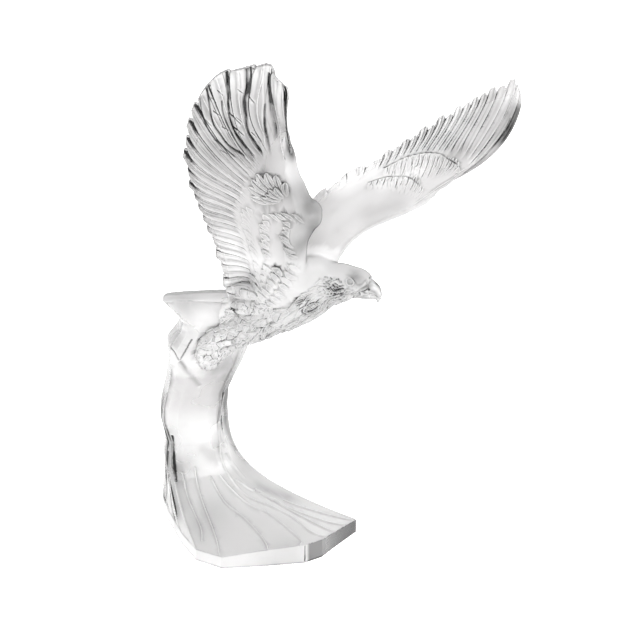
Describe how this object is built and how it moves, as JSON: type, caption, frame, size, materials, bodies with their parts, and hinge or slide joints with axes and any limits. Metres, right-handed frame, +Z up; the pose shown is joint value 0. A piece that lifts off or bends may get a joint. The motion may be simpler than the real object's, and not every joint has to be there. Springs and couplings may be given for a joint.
{
  "type": "crystal eagle sculpture",
  "caption": "Cast satin-crystal eagle with raised, spread wings, joined to the wave-shaped column and plate it stands on.",
  "frame": {"origin": "on the flat underside of the plate, near its middle", "axes": "+Z up; the bird flies towards +X; the front of the piece, with the near wing, faces -Y"},
  "size_m": [0.2729, 0.146, 0.3857],
  "materials": {
    "satin_crystal": "satin frosted cast crystal, see-through, polished along ridges and feather edges"
  },
  "bodies": {
    "root": {"crystal_eagle": "satin_crystal"}
  },
  "joints": []
}
